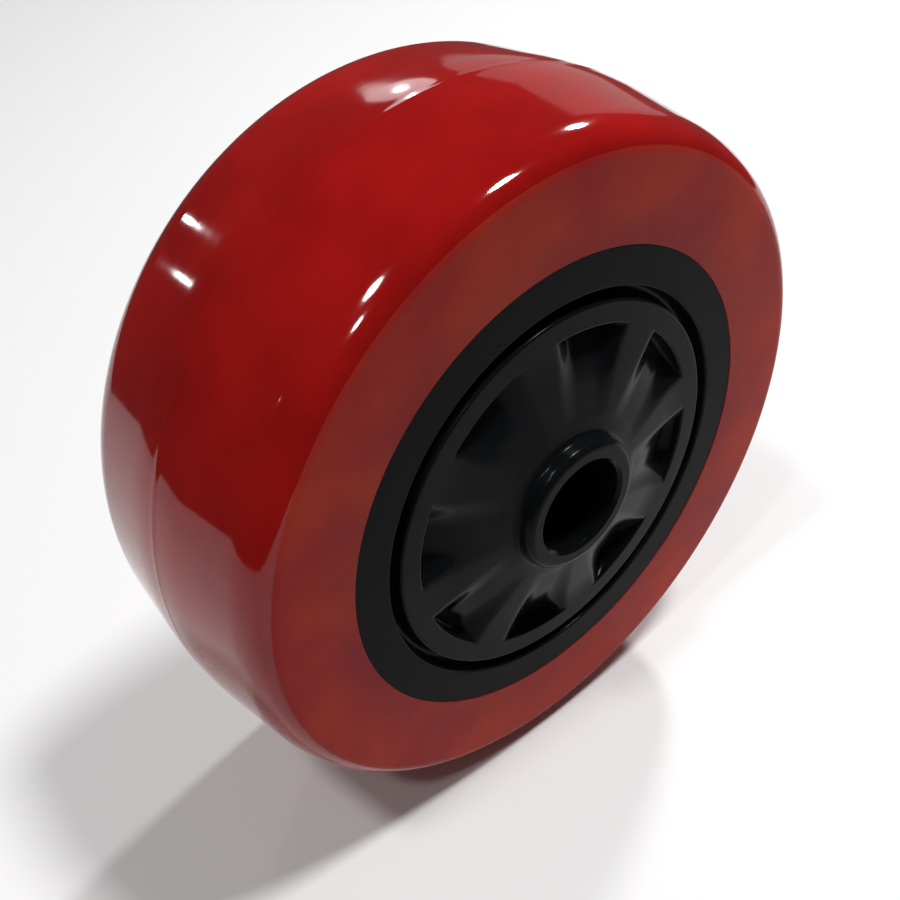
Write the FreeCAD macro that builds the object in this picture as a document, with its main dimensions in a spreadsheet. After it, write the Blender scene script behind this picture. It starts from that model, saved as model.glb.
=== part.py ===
import FreeCAD, Part
import os
import Sketcher

# A plain-bore castor wheel: a polyurethane tread moulded round a one-piece plastic core.
# The wheel spins about the Y axis, the origin is its centre and +Z is up.
# Both faces are alike, so the core is modelled as its front half, on the side of -Y, and mirrored.

# Driving dimensions, in millimetres and degrees; a share is a plain ratio
SIZES = {
    "wheel_diameter": 100.0,
    "tread_width": 37.4,
    "tread_draft": 6.5,
    "shoulder_radius": 4.0,
    "core_diameter": 69.0,
    "core_width": 36.7,
    "slot_diameter": 58.4,
    "slot_width": 1.6,
    "slot_depth": 3.0,
    "ring_width": 3.25,
    "dish_step": 0.3,
    "scoop_count": 8,
    "scoop_clocking": 12.0,
    "scoop_depth": 3.0,
    "scoop_slope": 26.0,
    "scoop_floor": 6.6,
    "scoop_flank": 42.0,
    "hub_length": 44.8,
    "dish_share": 0.4,
    "boss_diameter": 19.8,
    "boss_chamfer_share": 0.2,
    "boss_foot_share": 0.15,
    "bore_diameter": 14.0,
    "bore_chamfer": 0.5,
}

# A full turn, in degrees
FULL_TURN = 360
# How far a cutting form runs past the surface that it leaves, in millimetres
CUT_OVERRUN = 2.0
# Slack when an edge is looked up by its place, in millimetres
PLACE_SLACK = 0.01

# Places that several outlines share, as expressions on the sheet
BORE_RADIUS = "Sizes.bore_diameter / 2"
BOSS_RADIUS = "Sizes.boss_diameter / 2"
BOSS_END = "Sizes.hub_length / 2"
# How far the boss stands out past the ring
OVERHANG = "(Sizes.hub_length - Sizes.core_width) / 2"
BOSS_CHAMFER = "Sizes.boss_chamfer_share * " + OVERHANG
BOSS_FOOT = "Sizes.boss_foot_share * " + OVERHANG
CORE_FACE = "Sizes.core_width / 2"
CORE_RADIUS = "Sizes.core_diameter / 2"
SLOT_OUTER = "Sizes.slot_diameter / 2"
SLOT_INNER = "(Sizes.slot_diameter / 2 - Sizes.slot_width)"
SLOT_FLOOR = "(Sizes.core_width / 2 - Sizes.slot_depth)"
DISH_RADIUS = "(Sizes.slot_diameter / 2 - Sizes.slot_width - Sizes.ring_width)"
DISH_EDGE = "(Sizes.core_width / 2 - Sizes.dish_step)"
DISH_CENTRE = "(Sizes.core_width / 2 + Sizes.dish_share * " + OVERHANG + ")"
DISH_FOOT = "(Sizes.boss_diameter / 2 + " + BOSS_FOOT + ")"
DISH_FALL = "((%s - %s) / (%s - %s))" % (DISH_CENTRE, DISH_EDGE, DISH_RADIUS, DISH_FOOT)
# The dish runs on under half of the ring, so that the two are one solid
WEB_RADIUS = "(%s + Sizes.ring_width / 2)" % DISH_RADIUS
WEB_EDGE = "(%s - %s * Sizes.ring_width / 2)" % (DISH_EDGE, DISH_FALL)
HALF_PITCH = "%s / 2 / Sizes.scoop_count" % FULL_TURN
TREAD_RADIUS = "Sizes.wheel_diameter / 2"
TREAD_SIDE = "Sizes.tread_width / 2"
SHOULDER_CORNER = "(Sizes.wheel_diameter / 2 - %s * tan(Sizes.tread_draft * 1deg))" % TREAD_SIDE

doc = FreeCAD.newDocument("castor_wheel")
sheet = doc.addObject("Spreadsheet::Sheet", "Sizes")
for row, (name, value) in enumerate(SIZES.items(), start=1):
    sheet.set("A%d" % row, name)
    sheet.set("B%d" % row, str(value))
    sheet.setAlias("B%d" % row, name)
doc.recompute()


def worked_out(expression):
    """The present value of an expression on the sheet, in millimetres."""
    value = sheet.evalExpression(expression)
    return float(getattr(value, "Value", value))


def origin_feature(body, role):
    """The body's own origin plane or axis with this role."""
    return next(feature for feature in body.Origin.OriginFeatures if feature.Role == role)


def outline_sketch(body, name, plane_role, corners):
    """A closed outline on an origin plane. Each corner is two expressions, along the plane's two axes."""
    sketch = body.newObject("Sketcher::SketchObject", name)
    sketch.AttachmentSupport = [(origin_feature(body, plane_role), "")]
    sketch.MapMode = "FlatFace"
    places = [FreeCAD.Vector(worked_out(along), worked_out(up), 0) for along, up in corners]
    following = places[1:] + places[:1]
    for start, end in zip(places, following):
        sketch.addGeometry(Part.LineSegment(start, end), False)
    for index, (along, up) in enumerate(corners):
        sketch.addConstraint(Sketcher.Constraint("Coincident", index, 2, (index + 1) % len(corners), 1))
        bind(sketch, Sketcher.Constraint("DistanceX", -1, 1, index, 1, places[index].x), along)
        bind(sketch, Sketcher.Constraint("DistanceY", -1, 1, index, 1, places[index].y), up)
    return sketch


def bind(sketch, constraint, expression):
    """Adds a constraint whose value follows an expression."""
    number = sketch.addConstraint(constraint)
    sketch.setExpression("Constraints[%d]" % number, expression)


def turn_ready(sketch):
    """Lets the sketch be turned about its plane's first axis."""
    no_turn = FreeCAD.Rotation(FreeCAD.Vector(1, 0, 0), 0)
    sketch.AttachmentOffset = FreeCAD.Placement(FreeCAD.Vector(), no_turn)


def revolved(body, name, corners):
    """Material turned about the wheel's axis, from an outline that is swung onto a rib."""
    sketch = outline_sketch(body, name + "_outline", "YZ_Plane", corners)
    turn_ready(sketch)
    sketch.setExpression("AttachmentOffset.Rotation.Angle", HALF_PITCH)
    feature = body.newObject("PartDesign::Revolution", name)
    feature.Profile = sketch
    feature.ReferenceAxis = (sketch, ["H_Axis"])
    feature.Angle = FULL_TURN
    doc.recompute()
    return feature


def ring_edges(feature, *rings):
    """Names of the full circles about the wheel's axis; a ring is two expressions, along Y and radius."""
    wanted = [(worked_out(along), worked_out(radius)) for along, radius in rings]
    names = []
    for number, edge in enumerate(feature.Shape.Edges, start=1):
        if not isinstance(edge.Curve, Part.Circle):
            continue
        place = (edge.Curve.Center.y, edge.Curve.Radius)
        if any(abs(place[0] - y) < PLACE_SLACK and abs(place[1] - r) < PLACE_SLACK for y, r in wanted):
            names.append("Edge%d" % number)
    return names


def dressed(body, kind, name, base, edges, size_property, expression):
    """A fillet or a chamfer on the named edges of the base feature."""
    feature = body.newObject("PartDesign::" + kind, name)
    feature.Base = (base, edges)
    feature.setExpression(size_property, expression)
    doc.recompute()
    return feature


def tread_body():
    """The tread: two conical halves that meet at mid width, with round shoulders and flat sides."""
    body = doc.addObject("PartDesign::Body", "Tread")
    body.Label = "tread"
    sketch = outline_sketch(body, "tread_outline", "YZ_Plane", [
        ("-" + TREAD_SIDE, CORE_RADIUS),
        ("-" + TREAD_SIDE, SHOULDER_CORNER),
        ("0", TREAD_RADIUS),
        (TREAD_SIDE, SHOULDER_CORNER),
        (TREAD_SIDE, CORE_RADIUS),
    ])
    ring = body.newObject("PartDesign::Revolution", "tread_ring")
    ring.Profile = sketch
    ring.ReferenceAxis = (sketch, ["H_Axis"])
    ring.Angle = FULL_TURN
    doc.recompute()
    corners = ring_edges(ring, ("-" + TREAD_SIDE, SHOULDER_CORNER), (TREAD_SIDE, SHOULDER_CORNER))
    dressed(body, "Fillet", "tread_shoulders", ring, corners, "Radius", "Sizes.shoulder_radius")
    return body


def scoop_cut(body):
    """One scoop: a channel with a flat floor and sloping flanks that deepens outwards, above the axis."""
    half_floor = "Sizes.scoop_floor / 2"
    rise = "(Sizes.scoop_depth + %s + %s)" % (OVERHANG, CUT_OVERRUN)
    half_top = "(Sizes.scoop_floor / 2 + %s / tan(Sizes.scoop_flank * 1deg))" % rise
    sketch = outline_sketch(body, "scoop_outline", "XY_Plane", [
        ("-" + half_floor, "0"),
        (half_floor, "0"),
        (half_top, "-" + rise),
        ("-" + half_top, "-" + rise),
    ])
    turn_ready(sketch)
    sketch.setExpression("AttachmentOffset.Rotation.Angle", "-Sizes.scoop_slope")
    drop = "%s * tan(Sizes.scoop_slope * 1deg)" % CUT_OVERRUN
    sketch.setExpression("AttachmentOffset.Base.y", "Sizes.scoop_depth - %s + %s" % (CORE_FACE, drop))
    sketch.setExpression("AttachmentOffset.Base.z", "%s + %s" % (DISH_RADIUS, CUT_OVERRUN))
    scoop = body.newObject("PartDesign::Pocket", "scoop")
    scoop.Profile = sketch
    reach = "(%s + %s - %s) / cos(Sizes.scoop_slope * 1deg)" % (DISH_RADIUS, CUT_OVERRUN, BOSS_RADIUS)
    scoop.setExpression("Length", reach)
    doc.recompute()
    return scoop


def scooped_dish(body):
    """The hub's boss and dished web, cut by a ring of scoops with ribs left standing between them."""
    dish = revolved(body, "dish", [
        ("0", BORE_RADIUS),
        ("-" + BOSS_END, BORE_RADIUS),
        ("-" + BOSS_END, BOSS_RADIUS),
        ("-(%s + %s)" % (DISH_CENTRE, BOSS_FOOT), BOSS_RADIUS),
        ("-" + DISH_CENTRE, DISH_FOOT),
        ("-" + WEB_EDGE, WEB_RADIUS),
        ("0", WEB_RADIUS),
    ])
    scoop = scoop_cut(body)
    scoops = body.newObject("PartDesign::PolarPattern", "scoops")
    scoops.Originals = [scoop]
    scoops.Axis = (origin_feature(body, "Y_Axis"), [""])
    scoops.Angle = FULL_TURN
    scoops.setExpression("Occurrences", "Sizes.scoop_count")
    body.Tip = scoops
    doc.recompute()
    if not scoops.Shape.Volume < scoop.Shape.Volume < dish.Shape.Volume:
        raise RuntimeError("the scoops cut nothing")


def core_body():
    """The core: one moulding with a bored hub, a scooped dish and a slotted ring."""
    body = doc.addObject("PartDesign::Body", "Core")
    body.Label = "core"
    # The pattern leaves a compound unless the body asks for one solid
    body.AllowCompound = False
    scooped_dish(body)
    rim = revolved(body, "rim", [
        ("0", DISH_RADIUS),
        ("-" + CORE_FACE, DISH_RADIUS),
        ("-" + CORE_FACE, SLOT_INNER),
        ("-" + SLOT_FLOOR, SLOT_INNER),
        ("-" + SLOT_FLOOR, SLOT_OUTER),
        ("-" + CORE_FACE, SLOT_OUTER),
        ("-" + CORE_FACE, CORE_RADIUS),
        ("0", CORE_RADIUS),
    ])
    boss_edge = ring_edges(rim, ("-" + BOSS_END, BOSS_RADIUS))
    eased = dressed(body, "Chamfer", "boss_chamfer", rim, boss_edge, "Size", BOSS_CHAMFER)
    bore_edge = ring_edges(eased, ("-" + BOSS_END, BORE_RADIUS))
    front_half = dressed(body, "Chamfer", "bore_chamfer", eased, bore_edge, "Size", "Sizes.bore_chamfer")
    whole = body.newObject("PartDesign::Mirrored", "both_faces")
    whole.TransformMode = "Whole shape"
    whole.MirrorPlane = (origin_feature(body, "XZ_Plane"), [""])
    body.Tip = whole
    doc.recompute()
    if not whole.Shape.Volume > front_half.Shape.Volume:
        raise RuntimeError("the second face is missing")
    body.Placement = FreeCAD.Placement(FreeCAD.Vector(), FreeCAD.Rotation(FreeCAD.Vector(0, 1, 0), 0))
    body.setExpression("Placement.Rotation.Angle", "Sizes.scoop_clocking")
    return body


bodies = [tread_body(), core_body()]
doc.recompute()

for item in doc.Objects:
    if "Invalid" in item.State or "Error" in item.State:
        raise RuntimeError("%s failed: %s" % (item.Name, item.State))
for body in bodies:
    if body.Shape.isNull() or not body.Shape.isValid() or len(body.Shape.Solids) != 1:
        raise RuntimeError("%s is not one valid solid" % body.Label)

os.makedirs("parts", exist_ok=True)
for body in bodies:
    body.Shape.exportStep("parts/%s.step" % body.Label)
    print("%s: %.0f cubic millimetres" % (body.Label, body.Shape.Volume))
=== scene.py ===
import math

import bpy
import numpy as np
from mathutils import Matrix, Vector


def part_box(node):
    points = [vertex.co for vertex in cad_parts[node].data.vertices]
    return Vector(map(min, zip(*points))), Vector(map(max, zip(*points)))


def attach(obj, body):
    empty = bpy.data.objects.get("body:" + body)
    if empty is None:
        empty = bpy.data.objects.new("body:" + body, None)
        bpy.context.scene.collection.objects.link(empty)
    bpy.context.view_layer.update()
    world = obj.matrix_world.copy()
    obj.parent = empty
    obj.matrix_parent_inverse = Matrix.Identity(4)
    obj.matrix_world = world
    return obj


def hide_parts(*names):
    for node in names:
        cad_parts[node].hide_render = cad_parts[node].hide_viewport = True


# The looks of a castor wheel: a cast polyurethane tread, glossy with satin sides, round a moulded black
# core, glossy in the dish and matte on the rim.
# Metres throughout, in the CAD frame: the wheel spins about Y, +Z is up, the front face is at -Y.
# Outlines are in the (out, radius) plane: out from mid width along the axle, radius from the axle.

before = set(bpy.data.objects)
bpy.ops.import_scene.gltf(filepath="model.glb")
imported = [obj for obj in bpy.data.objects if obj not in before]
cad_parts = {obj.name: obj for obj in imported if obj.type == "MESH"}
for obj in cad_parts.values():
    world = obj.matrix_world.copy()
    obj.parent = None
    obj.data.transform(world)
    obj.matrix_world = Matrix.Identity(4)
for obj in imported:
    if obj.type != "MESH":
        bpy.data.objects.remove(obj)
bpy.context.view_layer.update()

MM = 0.001
tread_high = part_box("tread")[1]
core_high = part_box("core")[1]

# Tread: the outer size and the seat are the frame's
TREAD_RADIUS = tread_high.z
TREAD_SIDE = tread_high.y
SEAT_RADIUS = core_high.x
TREAD_DRAFT = math.radians(6.5)
SHOULDER_TREAD_RADIUS = 9.0 * MM
SHOULDER_SIDE_RADIUS = 3.0 * MM
SHOULDER_TURN = math.radians(30.0)
SIDE_AT_SEAT = 18.45 * MM
LIP_ROUNDING = 0.1 * MM
CROWN_RADIUS = 45.0 * MM
BEAD_HEIGHT = 0.05 * MM
BEAD_HALF_WIDTH = 0.8 * MM
# A row of the tread is part of the side where its out changes by less than this share of its radius
SIDE_SLOPE = 0.35

# Core: the hub's length is the frame's
HUB_END = core_high.y
CORE_FACE = 18.35 * MM
BORE_RADIUS = 7.0 * MM
BORE_CHAMFER = 0.5 * MM
BORE_ROUNDING = 0.1 * MM
BOSS_RADIUS = 9.9 * MM
BOSS_ROUNDING = 1.1 * MM
FOOT_ROUNDING = 0.9 * MM
DISH_TOP = 19.97 * MM
DISH_TOP_RADIUS = 10.5 * MM
DISH_EDGE = 18.05 * MM
DISH_RADIUS = 24.35 * MM
SLOT_INNER = 27.6 * MM
SLOT_OUTER = 29.2 * MM
SLOT_FLOOR = 15.35 * MM
EDGE_ROUNDING = 0.35 * MM
SEAT_ROUNDING = 0.1 * MM

# The ring of scoops in the dish
SCOOP_COUNT = 8
SCOOP_CENTRE = math.radians(78.0)
SCOOP_DEPTH = 3.0 * MM
SCOOP_SLOPE = math.radians(26.0)
SCOOP_HALF_FLOOR = 3.3 * MM
SCOOP_FLANK = math.radians(42.0)
SCOOP_CORNER_SOFTNESS = 1.8 * MM
RIB_SOFTNESS_AT_RING = 1.0 * MM
RIB_SOFTNESS_AT_BOSS = 3.0 * MM
SCOOP_START = 11.2 * MM
SCOOP_FADE = 2.0 * MM
WALL_RUN = 0.3 * MM

# Mesh steps
TREAD_STEPS = 288
CORE_STEPS = 448
DISH_ROWS = 40
ARC_STEPS = 4
SHOULDER_STEPS = 14
BEAD_STEPS = 8
SUPPORT_GAP = 0.06 * MM

# Noise: a cloud's scale, detail and roughness, and the ranges that are spread over a look
RED_CLOUD = (55.0, 4.0, 0.55)
BLACK_CLOUD = (90.0, 4.0, 0.6)
CLOUD_RANGE = (0.3, 0.7)
STREAK_STRETCH = (14.0, 260.0, 14.0)
STREAK_SCALE = 1.0
STREAK_DETAIL = 3.0
STREAK_RANGE = (0.3, 0.75)
GRAIN_DETAIL = 2.0
PLAIN_ROUGHNESS = 0.5
SHARE = (0.0, 1.0)
ACROSS_AXLE = (1, 0, 1)

# Red polyurethane: colours are linear, a bump is its strength and its distance
GLOSS_DARK = (0.26, 0.0035, 0.003, 1)
GLOSS_PALE = (0.36, 0.006, 0.005, 1)
GLOSS_ROUGHNESS = (0.05, 0.09)
GLOSS_SPECULAR = 0.4
GLOSS_GRAIN_SCALE = 900.0
GLOSS_STREAK_SHARE = 0.6
GLOSS_GRAIN_SHARE = 0.25
GLOSS_BUMP = (0.03, 0.2 * MM)
SATIN_INNER_DARK = (0.24, 0.0145, 0.0185, 1)
SATIN_INNER_PALE = (0.35, 0.036, 0.0185, 1)
# Painted glow on the sides: the colours further out are lighter and warmer than near the seat
SATIN_GLOW_DARK = (0.29, 0.0145, 0.016, 1)
SATIN_GLOW_PALE = (0.42, 0.036, 0.016, 1)
SATIN_GLOW_RADIUS = 43.0 * MM
SATIN_ROUGHNESS = (0.36, 0.46)
SATIN_SPECULAR = 0.07
SATIN_GRAIN_SCALE = 1800.0
SATIN_BUMP = (0.15, 0.05 * MM)
SUBSURFACE_WEIGHT = 0.25
SUBSURFACE_RADIUS = (1.0, 0.12, 0.1)
SUBSURFACE_SCALE = 2.5 * MM

# Black plastic
BLACK_DARK = (0.004, 0.0045, 0.005, 1)
BLACK_PALE = (0.007, 0.0075, 0.0085, 1)
BLACK_GRAIN_SCALE = 2600.0
BLACK_BUMP = (0.08, 0.05 * MM)
DISH_ROUGHNESS = (0.14, 0.22)
DISH_SPECULAR = 0.05
RIM_ROUGHNESS = (0.38, 0.48)
RIM_SPECULAR = 0.04

# Camera: the photograph's frame is square
FRAME_PX = 900
FOCAL_PX = 1093.98
PRINCIPAL_PX = (507.17, 563.5)
CENTRE_PX = (473.21, 430.97)
CAMERA_DISTANCE = 158.7 * MM
CAMERA_AZIMUTH = math.radians(-39.266)
CAMERA_ELEVATION = math.radians(38.609)
CAMERA_ROLL = math.radians(-2.728)
SENSOR_WIDTH_MM = 36.0
CLIP_START = 0.01

# Studio
FLOOR_RADIUS = 0.345
FLOOR_CENTRE = (0.05, 0.05)
FLOOR_HEIGHT = -TREAD_RADIUS - BEAD_HEIGHT
FLOOR_STEPS = 96
FLOOR_COLOUR = (0.86, 0.86, 0.86, 1)
FLOOR_ROUGHNESS = 0.6
ROOM_COLOUR = (0.06, 0.06, 0.06, 1)
# Each lamp: azimuth and elevation in degrees, distance, size, watts
LAMPS = {
    "left_lamp": (-89, 66, 0.8, 0.10, 1.6),
    "front_lamp": (-68, 55, 0.8, 0.06, 0.7),
    "right_lamp": (58, 68, 0.8, 0.13, 4.2),
    "back_right_lamp": (112, 40, 0.8, 0.07, 2.4),
    "back_right_panel": (128, 12, 1.0, 0.5, 0.2),
    "back_window": (150, 26, 1.0, 0.2, 0.25),
    "back_lamp": (150, 26, 0.95, 0.03, 0.3),
    "back_left_lamp": (-166, 20, 1.0, 0.02, 0.06),
    "far_left_lamp": (-158, 15, 1.0, 0.02, 0.05),
    "low_left_lamp": (-120, 26, 1.0, 0.012, 0.01),
}


def arc(centre, radius, start, end, steps):
    """Points of an outline on an arc, angles in radians."""
    angles = np.linspace(start, end, steps + 1)
    return [(centre[0] + radius * math.cos(a), centre[1] + radius * math.sin(a)) for a in angles]


def rounded_corner(before, corner, after, radius):
    """A corner of an outline as an arc, with a support point on each side that keeps the flats flat."""
    p, a, b = np.array(corner), np.array(before), np.array(after)
    to_a, to_b = (a - p) / np.linalg.norm(a - p), (b - p) / np.linalg.norm(b - p)
    half = math.acos(max(-1.0, min(1.0, float(to_a @ to_b)))) / 2
    reach = radius / math.tan(half)
    bisector = (to_a + to_b) / np.linalg.norm(to_a + to_b)
    centre = p + bisector * radius / math.sin(half)
    first, last = p + to_a * reach, p + to_b * reach
    start = math.atan2(*(first - centre)[::-1])
    sweep = math.atan2(*(last - centre)[::-1]) - start
    sweep = (sweep + math.pi) % (2 * math.pi) - math.pi
    points = [tuple(first + to_a * SUPPORT_GAP)]
    points += arc(centre, radius, start, start + sweep, ARC_STEPS)
    points.append(tuple(last + to_b * SUPPORT_GAP))
    return points


def outline(corners):
    """An open outline of (out, radius, rounding) corners, with every rounding over nothing made an arc."""
    points = []
    for index, (out, radius, rounding) in enumerate(corners):
        if rounding:
            before, after = corners[index - 1][:2], corners[index + 1][:2]
            points += rounded_corner(before, (out, radius), after, rounding)
        else:
            points.append((out, radius))
    return points


def whole_turn(steps):
    """Even angles round the axle."""
    return np.linspace(0, 2 * math.pi, steps, endpoint=False)


def ring_piece(name, out, radius, angles, materials, material_rows):
    """A closed ring of quads: rows of outs and radii swept round the axle, with a material for each row."""
    rings = np.stack([radius * np.cos(angles), -out + 0 * angles, radius * np.sin(angles)], -1)
    rows, steps = rings.shape[:2]
    row, step = np.meshgrid(np.arange(rows), np.arange(steps), indexing="ij")
    next_row, next_step = (row + 1) % rows, (step + 1) % steps
    quads = np.stack([row * steps + step, next_row * steps + step,
                      next_row * steps + next_step, row * steps + next_step], -1)
    mesh = bpy.data.meshes.new(name)
    mesh.from_pydata(rings.reshape(-1, 3).tolist(), [], quads.reshape(-1, 4).tolist())
    mesh.shade_smooth()
    for material in materials:
        mesh.materials.append(material)
    mesh.polygons.foreach_set("material_index", np.repeat(material_rows.astype(np.int32), steps))
    piece = bpy.data.objects.new(name, mesh)
    bpy.context.scene.collection.objects.link(piece)
    return piece


def parting_bead():
    """The low bead that the mould's parting leaves round the crown, as outline points."""
    outs = np.linspace(BEAD_HALF_WIDTH, -BEAD_HALF_WIDTH, BEAD_STEPS + 1)
    crown = TREAD_RADIUS - CROWN_RADIUS + np.sqrt(CROWN_RADIUS ** 2 - outs ** 2)
    rise = BEAD_HEIGHT * (1 + np.cos(math.pi * outs / BEAD_HALF_WIDTH)) / 2
    return list(zip(outs, crown + rise))


def shoulder_and_crown():
    """Outline points from the side over the shoulder, tight and then wide, and up the cone to the bead."""
    upright = math.pi / 2
    slope = math.tan(TREAD_DRAFT)
    ridge = TREAD_RADIUS + CROWN_RADIUS * (1 / math.cos(TREAD_DRAFT) - 1)
    step_in = SHOULDER_TREAD_RADIUS - SHOULDER_SIDE_RADIUS
    wide_out = TREAD_SIDE - SHOULDER_SIDE_RADIUS - step_in * math.sin(SHOULDER_TURN)
    cone_out = wide_out + SHOULDER_TREAD_RADIUS * math.sin(TREAD_DRAFT)
    wide_in = ridge - cone_out * slope - SHOULDER_TREAD_RADIUS * math.cos(TREAD_DRAFT)
    tight = (TREAD_SIDE - SHOULDER_SIDE_RADIUS, wide_in + step_in * math.cos(SHOULDER_TURN))
    points = arc(tight, SHOULDER_SIDE_RADIUS, 0, upright - SHOULDER_TURN, SHOULDER_STEPS)
    points += arc((wide_out, wide_in), SHOULDER_TREAD_RADIUS,
                  upright - SHOULDER_TURN, upright - TREAD_DRAFT, SHOULDER_STEPS)[1:]
    bead_side = math.asin(BEAD_HALF_WIDTH / CROWN_RADIUS)
    points += arc((0, TREAD_RADIUS - CROWN_RADIUS), CROWN_RADIUS,
                  upright - TREAD_DRAFT, upright - bead_side, SHOULDER_STEPS)[:-1]
    return points


def tread_piece():
    """The tread: conical halves that meet in a round crown with a parting bead, round shoulders and sides."""
    over = shoulder_and_crown()
    lip = outline([
        (0, SEAT_RADIUS, 0),
        (SIDE_AT_SEAT, SEAT_RADIUS, LIP_ROUNDING),
        (*over[0], 0),
    ])[1:-1]
    half = lip + over
    loop = np.array(half + parting_bead() + [(-out, radius) for out, radius in reversed(half)])
    run = np.abs(np.roll(loop, -1, axis=0) - loop)
    on_side = (run[:, 0] < run[:, 1] * SIDE_SLOPE) | (loop[:, 1] < SEAT_RADIUS + LIP_ROUNDING)
    piece = ring_piece("tread_cast", loop[:, :1], loop[:, 1:], whole_turn(TREAD_STEPS),
                       [glossy_polyurethane(), satin_polyurethane()], on_side)
    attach(piece, "root")
    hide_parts("tread")


def soft_over(value, softness):
    """The larger of value and nothing, with the corner rounded within this softness."""
    rounded = (value + softness) ** 2 / (4 * softness)
    return np.where(np.abs(value) < softness, rounded, np.maximum(value, 0))


def dish_height(radius, angle):
    """How far out the scooped dish lies at a radius and an angle, as arrays."""
    fall = (DISH_TOP - DISH_EDGE) / (DISH_RADIUS - DISH_TOP_RADIUS)
    inward = DISH_RADIUS - radius
    level_off = 2 * (CORE_FACE - DISH_EDGE) / fall
    cone = np.where(inward < level_off, CORE_FACE + fall * inward ** 2 / (2 * level_off),
                    DISH_EDGE + fall * inward)
    pitch = 2 * math.pi / SCOOP_COUNT
    from_centre = (angle - SCOOP_CENTRE + pitch / 2) % pitch - pitch / 2
    across, along = np.abs(radius * np.sin(from_centre)), radius * np.cos(from_centre)
    floor = CORE_FACE - SCOOP_DEPTH + (DISH_RADIUS - along) * math.tan(SCOOP_SLOPE)
    flank = soft_over(across - SCOOP_HALF_FLOOR, SCOOP_CORNER_SOFTNESS)
    scoop = floor + flank * math.tan(SCOOP_FLANK) / math.cos(SCOOP_SLOPE)
    fade = np.clip((radius - SCOOP_START) / SCOOP_FADE, 0, 1)
    softness = np.interp(radius, (DISH_TOP_RADIUS, DISH_RADIUS),
                         (RIB_SOFTNESS_AT_BOSS, RIB_SOFTNESS_AT_RING))
    return cone - soft_over(cone - scoop, softness) * fade


def core_piece():
    """The core: bored boss, scooped dish, ring, slot and rim, alike on both faces."""
    foot = np.array(outline([
        (0, BORE_RADIUS, 0),
        (HUB_END - BORE_CHAMFER, BORE_RADIUS, BORE_ROUNDING),
        (HUB_END, BORE_RADIUS + BORE_CHAMFER, BORE_ROUNDING),
        (HUB_END, BOSS_RADIUS, BOSS_ROUNDING),
        (DISH_TOP, BOSS_RADIUS, FOOT_ROUNDING),
        (DISH_TOP, SCOOP_START, 0),
    ])[:-2])
    rim = np.array(outline([
        (SLOT_FLOOR, DISH_RADIUS - WALL_RUN, 0),
        (CORE_FACE, DISH_RADIUS, EDGE_ROUNDING),
        (CORE_FACE, SLOT_INNER, EDGE_ROUNDING),
        (SLOT_FLOOR, SLOT_INNER, 0),
        (SLOT_FLOOR, SLOT_OUTER, 0),
        (CORE_FACE, SLOT_OUTER, EDGE_ROUNDING),
        (CORE_FACE, SEAT_RADIUS, SEAT_ROUNDING),
        (0, SEAT_RADIUS, 0),
    ])[1:-1])
    angles = whole_turn(CORE_STEPS)
    dish_radii = np.linspace(SCOOP_START, DISH_RADIUS - WALL_RUN, DISH_ROWS)[:, None]
    # The ribs run into the ring, so its inner edge is never lower than they are
    beside_dish = rim[:, 1:] < DISH_RADIUS + EDGE_ROUNDING
    ring_side = np.maximum(rim[:, :1], dish_height(np.array(DISH_RADIUS), angles))
    front_out = np.concatenate([np.tile(foot[:, :1], CORE_STEPS), dish_height(dish_radii, angles),
                                np.where(beside_dish, ring_side, rim[:, :1])])
    front_radius = np.concatenate([foot[:, 1:], dish_radii, rim[:, 1:]])
    out = np.concatenate([front_out, -front_out[:0:-1]])
    radius = np.concatenate([front_radius, front_radius[:0:-1]])
    dish = black_plastic("black_plastic_glossy", DISH_ROUGHNESS, DISH_SPECULAR)
    matte = black_plastic("black_plastic_matte", RIM_ROUGHNESS, RIM_SPECULAR)
    on_rim = radius[:, 0] > SLOT_OUTER + SUPPORT_GAP
    piece = ring_piece("core_moulding", out, radius, angles, [dish, matte], on_rim)
    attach(piece, "root")
    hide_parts("core")


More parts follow.
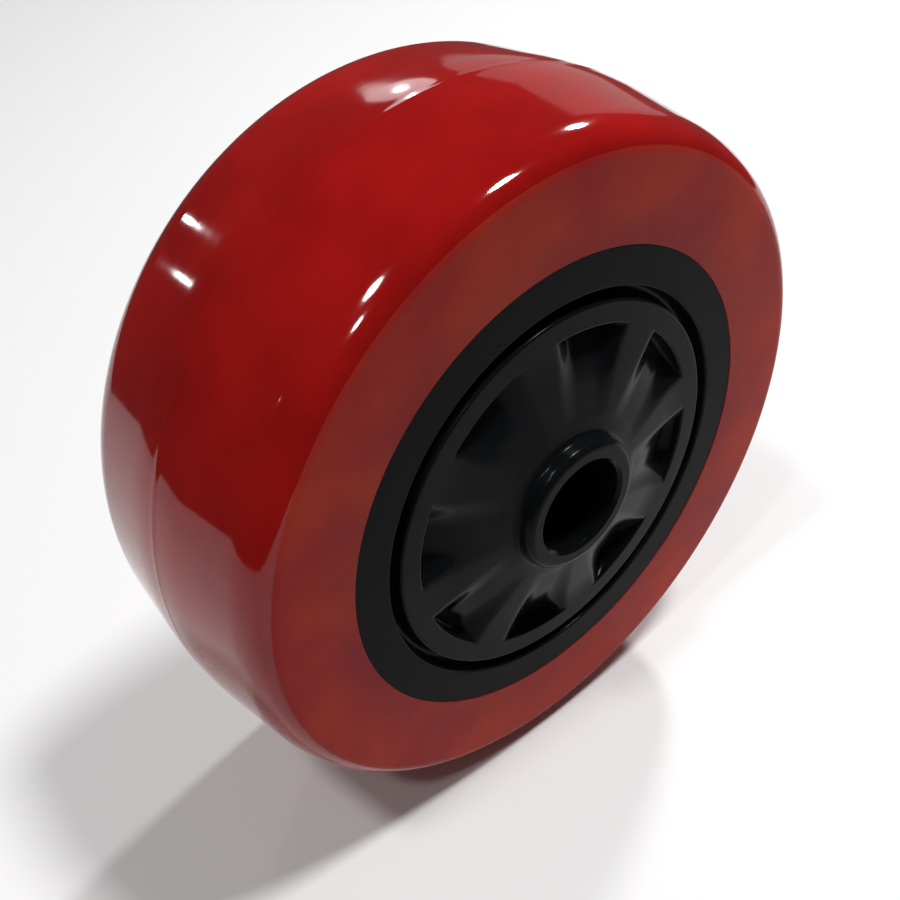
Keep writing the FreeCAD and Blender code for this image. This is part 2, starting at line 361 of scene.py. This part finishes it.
class Nodes:
    """A short way to add and join shader nodes in one material."""

    def __init__(self, name):
        self.material = bpy.data.materials.new(name)
        self.material.use_nodes = True
        self.tree = self.material.node_tree
        self.shader = self.tree.nodes["Principled BSDF"]

    def put(self, node, socket, value):
        """Sets or links one input of a node."""
        if isinstance(value, bpy.types.NodeSocket):
            self.tree.links.new(value, node.inputs[socket])
        else:
            node.inputs[socket].default_value = value

    def add(self, kind, settings=None, inputs=None):
        """A node with its settings, and its inputs given as values or as other nodes' outputs."""
        node = self.tree.nodes.new("ShaderNode" + kind)
        for key, value in (settings or {}).items():
            setattr(node, key, value)
        for socket, value in (inputs or {}).items():
            self.put(node, socket, value)
        return node

    def look(self, inputs):
        """Sets or links inputs of the material's shader."""
        for socket, value in inputs.items():
            self.put(self.shader, socket, value)

    def place(self):
        """The object's own coordinates."""
        return self.add("TexCoord").outputs["Object"]

    def stretched(self, vector, factors):
        """A vector with each direction scaled."""
        node = self.add("VectorMath", {"operation": "MULTIPLY"}, {0: vector, 1: factors})
        return node.outputs["Vector"]

    def from_axle(self, place):
        """The distance of a place from the wheel's axle."""
        node = self.add("VectorMath", {"operation": "LENGTH"}, {0: self.stretched(place, ACROSS_AXLE)})
        return node.outputs["Value"]

    def noise(self, vector, scale, detail, roughness=PLAIN_ROUGHNESS):
        """The value of a noise texture."""
        inputs = {"Vector": vector, "Scale": scale, "Detail": detail, "Roughness": roughness}
        return self.add("TexNoise", inputs=inputs).outputs["Fac"]

    def ranged(self, value, source, target):
        """A value mapped smoothly from one range to another."""
        inputs = {"Value": value, "From Min": source[0], "From Max": source[1],
                  "To Min": target[0], "To Max": target[1]}
        return self.add("MapRange", {"interpolation_type": "SMOOTHSTEP"}, inputs).outputs["Result"]

    def mixed(self, share, first, second):
        """Two colours mixed by a share."""
        inputs = {"Fac": share, "Color1": first, "Color2": second}
        return self.add("MixRGB", inputs=inputs).outputs["Color"]

    def sums(self, operation, first, second):
        """Simple sums of two values."""
        return self.add("Math", {"operation": operation}, {0: first, 1: second}).outputs["Value"]

    def bumped(self, height, strength, distance):
        """Gives the shader a fine relief."""
        inputs = {"Height": height, "Strength": strength, "Distance": distance}
        self.look({"Normal": self.add("Bump", inputs=inputs).outputs["Normal"]})


def see_through(nodes):
    """Light that goes a little way into the polyurethane."""
    nodes.look({"Subsurface Weight": SUBSURFACE_WEIGHT, "Subsurface Radius": SUBSURFACE_RADIUS,
                "Subsurface Scale": SUBSURFACE_SCALE})


def glossy_polyurethane():
    """Cast red polyurethane as the mould leaves it on the tread: glossy and a little see-through."""
    nodes = Nodes("red_polyurethane_gloss")
    place = nodes.place()
    patches = nodes.ranged(nodes.noise(place, *RED_CLOUD), CLOUD_RANGE, SHARE)
    streak = nodes.noise(nodes.stretched(place, STREAK_STRETCH), STREAK_SCALE, STREAK_DETAIL)
    nodes.look({"Base Color": nodes.mixed(patches, GLOSS_DARK, GLOSS_PALE),
                "Roughness": nodes.ranged(streak, STREAK_RANGE, GLOSS_ROUGHNESS),
                "Specular IOR Level": GLOSS_SPECULAR})
    see_through(nodes)
    grain = nodes.noise(place, GLOSS_GRAIN_SCALE, GRAIN_DETAIL)
    relief = nodes.sums("ADD", nodes.sums("MULTIPLY", streak, GLOSS_STREAK_SHARE),
                        nodes.sums("MULTIPLY", grain, GLOSS_GRAIN_SHARE))
    nodes.bumped(relief, *GLOSS_BUMP)
    return nodes.material


def satin_polyurethane():
    """The same cast polyurethane on the sides: satin, with cloudy patches and a painted glow of light that
    makes it lighter and warmer further out.
    """
    nodes = Nodes("red_polyurethane_satin")
    place = nodes.place()
    cloud = nodes.noise(place, *RED_CLOUD)
    patches = nodes.ranged(cloud, CLOUD_RANGE, SHARE)
    inner = nodes.mixed(patches, SATIN_INNER_DARK, SATIN_INNER_PALE)
    glow_colour = nodes.mixed(patches, SATIN_GLOW_DARK, SATIN_GLOW_PALE)
    # Painted glow: the colour turns lighter and warmer from the seat out to the glow radius
    glow_share = nodes.ranged(nodes.from_axle(place), (SEAT_RADIUS, SATIN_GLOW_RADIUS), SHARE)
    nodes.look({"Base Color": nodes.mixed(glow_share, inner, glow_colour),
                "Roughness": nodes.ranged(cloud, CLOUD_RANGE, SATIN_ROUGHNESS),
                "Specular IOR Level": SATIN_SPECULAR})
    see_through(nodes)
    nodes.bumped(nodes.noise(place, SATIN_GRAIN_SCALE, GRAIN_DETAIL), *SATIN_BUMP)
    return nodes.material


def black_plastic(name, roughness, specular):
    """Moulded black plastic, with a fine grain and faint flow marks."""
    nodes = Nodes(name)
    place = nodes.place()
    cloud = nodes.noise(place, *BLACK_CLOUD)
    patches = nodes.ranged(cloud, CLOUD_RANGE, SHARE)
    nodes.look({"Base Color": nodes.mixed(patches, BLACK_DARK, BLACK_PALE),
                "Roughness": nodes.ranged(cloud, CLOUD_RANGE, roughness),
                "Specular IOR Level": specular})
    nodes.bumped(nodes.noise(place, BLACK_GRAIN_SCALE, GRAIN_DETAIL), *BLACK_BUMP)
    return nodes.material


def floor_piece():
    """A round pale floor under the wheel."""
    corners = [(FLOOR_CENTRE[0] + FLOOR_RADIUS * math.cos(a),
                FLOOR_CENTRE[1] + FLOOR_RADIUS * math.sin(a), FLOOR_HEIGHT) for a in whole_turn(FLOOR_STEPS)]
    mesh = bpy.data.meshes.new("floor")
    mesh.from_pydata(corners, [], [tuple(range(FLOOR_STEPS))])
    floor = bpy.data.objects.new("floor", mesh)
    bpy.context.scene.collection.objects.link(floor)
    nodes = Nodes("pale_floor")
    nodes.look({"Base Color": FLOOR_COLOUR, "Roughness": FLOOR_ROUGHNESS})
    mesh.materials.append(nodes.material)


def towards(azimuth, elevation):
    """The direction from the wheel to a place in the room; azimuth 0 is in front, at -Y."""
    return Vector((math.sin(azimuth) * math.cos(elevation),
                   -math.cos(azimuth) * math.cos(elevation), math.sin(elevation)))


def lamps():
    """Round soft lamps that face the wheel, in a dim room."""
    for name, (azimuth, elevation, distance, size, watts) in LAMPS.items():
        light = bpy.data.lights.new(name, "AREA")
        light.shape = "DISK"
        light.size = size
        light.energy = watts
        lamp = bpy.data.objects.new(name, light)
        bpy.context.scene.collection.objects.link(lamp)
        direction = towards(math.radians(azimuth), math.radians(elevation))
        lamp.location = direction * distance
        lamp.rotation_euler = (-direction).to_track_quat("-Z", "Y").to_euler()
    world = bpy.data.worlds.new("dim_room")
    world.use_nodes = True
    world.node_tree.nodes["Background"].inputs["Color"].default_value = ROOM_COLOUR
    bpy.context.scene.world = world


def camera():
    """The camera at the photograph's angle, aimed so that the wheel's centre falls on its pixel."""
    back = towards(CAMERA_AZIMUTH, CAMERA_ELEVATION)
    level = Vector((math.cos(CAMERA_AZIMUTH), math.sin(CAMERA_AZIMUTH), 0))
    rise = back.cross(level)
    right = level * math.cos(CAMERA_ROLL) + rise * math.sin(CAMERA_ROLL)
    up = rise * math.cos(CAMERA_ROLL) - level * math.sin(CAMERA_ROLL)
    pan = math.atan2(CENTRE_PX[0] - PRINCIPAL_PX[0], FOCAL_PX)
    tilt = math.atan2(CENTRE_PX[1] - PRINCIPAL_PX[1], FOCAL_PX)
    panned_right = right * math.cos(pan) - back * math.sin(pan)
    panned_ahead = -right * math.sin(pan) - back * math.cos(pan)
    tilted_up = up * math.cos(tilt) - panned_ahead * math.sin(tilt)
    ahead = up * math.sin(tilt) + panned_ahead * math.cos(tilt)
    lens = bpy.data.cameras.new("camera")
    lens.sensor_width = SENSOR_WIDTH_MM
    lens.lens = FOCAL_PX * SENSOR_WIDTH_MM / FRAME_PX
    lens.shift_x = 0.5 - PRINCIPAL_PX[0] / FRAME_PX
    lens.shift_y = PRINCIPAL_PX[1] / FRAME_PX - 0.5
    lens.clip_start = CLIP_START
    viewer = bpy.data.objects.new("camera", lens)
    bpy.context.scene.collection.objects.link(viewer)
    columns = Matrix((panned_right, tilted_up, -ahead)).transposed().to_4x4()
    viewer.matrix_world = Matrix.Translation(back * CAMERA_DISTANCE) @ columns
    bpy.context.scene.camera = viewer


tread_piece()
core_piece()
floor_piece()
lamps()
camera()
bpy.context.scene.view_settings.view_transform = "Standard"
